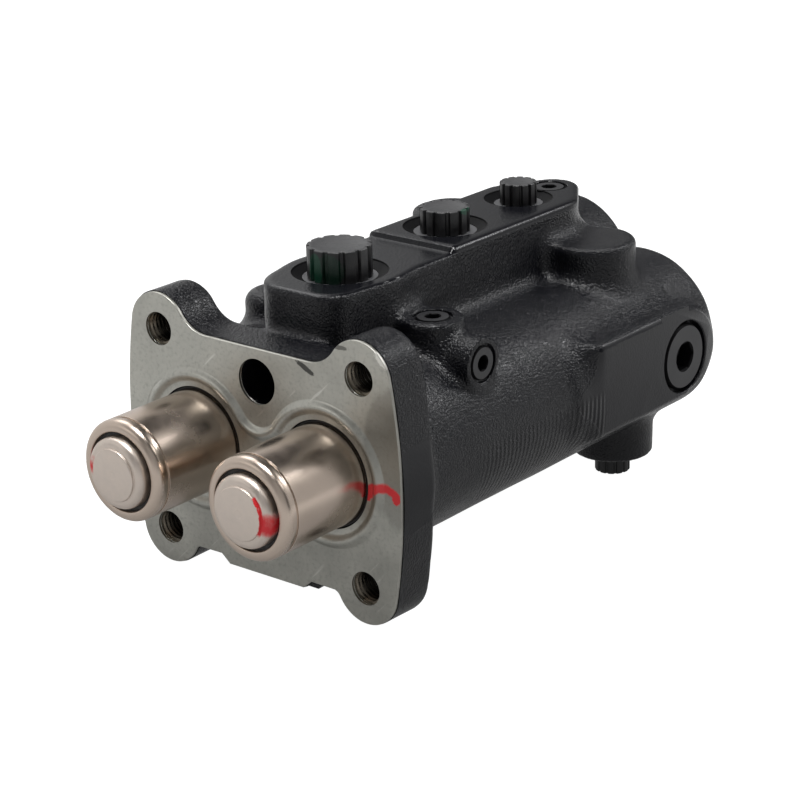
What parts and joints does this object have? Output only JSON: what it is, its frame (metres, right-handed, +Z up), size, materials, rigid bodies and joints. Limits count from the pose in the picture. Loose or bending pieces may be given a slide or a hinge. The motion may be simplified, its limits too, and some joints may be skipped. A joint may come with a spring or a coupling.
{
  "type": "brake valve",
  "caption": "Dual-circuit hydraulic brake valve: flanged casting with side-by-side spring-returned pistons, inner push buttons, capped ports and flush plugs.",
  "frame": {"origin": "centre of the four flange holes, on the face plate's front face", "axes": "+X to the right seen from the front, +Y from the flange to the rear, +Z up; the pistons point to -Y"},
  "size_m": [0.1238, 0.261, 0.116],
  "materials": {
    "black_paint": "semi-gloss black paint over a sand casting",
    "plate_steel": "satin pressed sheet",
    "ground_steel": "ground and polished",
    "button_steel": "turned",
    "plug_steel": "black oxide",
    "inner_steel": "ground",
    "spring_steel": "oiled wire",
    "bronze": "bored",
    "seal_rubber": "matte",
    "cap_plastic": "moulded"
  },
  "bodies": {
    "housing": {"valve_body": "black_paint", "face_plate": "plate_steel", "supply_port_cap": "cap_plastic", "outlet_port_cap": "cap_plastic", "return_port_cap": "cap_plastic", "side_plug_seals": "seal_rubber", "shuttle_seats": "bronze", "rear_ridge_plug": "plug_steel", "front_top_plug": "plug_steel", "front_side_plug": "plug_steel", "left_wiper_ring": "seal_rubber", "left_guide_bushing": "bronze", "left_return_spring": "spring_steel", "left_bore_washer": "inner_steel", "left_metering_spring": "spring_steel", "left_spool_spring": "spring_steel", "left_side_plug": "plug_steel", "left_brake_port_cap": "cap_plastic", "right_wiper_ring": "seal_rubber", "right_guide_bushing": "bronze", "right_return_spring": "spring_steel", "right_bore_washer": "inner_steel", "right_metering_spring": "spring_steel", "right_spool_spring": "spring_steel", "right_side_plug": "plug_steel", "right_brake_port_cap": "cap_plastic"},
    "left_piston": {"left_piston_sleeve": "ground_steel", "left_piston_seal": "seal_rubber", "left_button_seal": "seal_rubber"},
    "left_button": {"left_push_button": "button_steel", "left_button_circlip": "spring_steel"},
    "left_spool": {"left_control_spool": "inner_steel", "left_spool_collar": "inner_steel"},
    "right_piston": {"right_piston_sleeve": "ground_steel", "right_piston_seal": "seal_rubber", "right_button_seal": "seal_rubber"},
    "right_button": {"right_push_button": "button_steel", "right_button_circlip": "spring_steel"},
    "right_spool": {"right_control_spool": "inner_steel", "right_spool_collar": "inner_steel"},
    "shuttle": {"equalising_shuttle": "inner_steel"}
  },
  "joints": [
    {"name": "left_piston_slide", "type": "slide", "parent": "housing", "child": "left_piston", "axis": [0, 1, 0], "range_m": [0, 0.016], "stiffness_N_per_m": 2000, "springref_m": -0.02, "deforming": ["left_return_spring", "left_metering_spring"]},
    {"name": "left_button_slide", "type": "slide", "parent": "left_piston", "child": "left_button", "axis": [0, 1, 0], "range_m": [0, 0.0038], "stiffness_N_per_m": 4000, "springref_m": -0.004, "deforming": ["left_metering_spring"]},
    {"name": "left_spool_slide", "type": "slide", "parent": "housing", "child": "left_spool", "axis": [0, 1, 0], "range_m": [0, 0.003], "stiffness_N_per_m": 800, "springref_m": -0.003, "deforming": ["left_spool_spring"]},
    {"name": "right_piston_slide", "type": "slide", "parent": "housing", "child": "right_piston", "axis": [0, 1, 0], "range_m": [0, 0.016], "stiffness_N_per_m": 2000, "springref_m": -0.02, "deforming": ["right_return_spring", "right_metering_spring"]},
    {"name": "right_button_slide", "type": "slide", "parent": "right_piston", "child": "right_button", "axis": [0, 1, 0], "range_m": [0, 0.0038], "stiffness_N_per_m": 4000, "springref_m": -0.004, "deforming": ["right_metering_spring"]},
    {"name": "right_spool_slide", "type": "slide", "parent": "housing", "child": "right_spool", "axis": [0, 1, 0], "range_m": [0, 0.003], "stiffness_N_per_m": 800, "springref_m": -0.003, "deforming": ["right_spool_spring"]},
    {"name": "equalising_shuttle_slide", "type": "slide", "parent": "housing", "child": "shuttle", "axis": [1, 0, 0], "range_m": [-0.0015, 0.0015]}
  ],
  "couplings": [
    {"joint": "left_spool_slide", "follows": "left_button_slide", "ratio": 0.75},
    {"joint": "right_spool_slide", "follows": "right_button_slide", "ratio": 0.75}
  ]
}
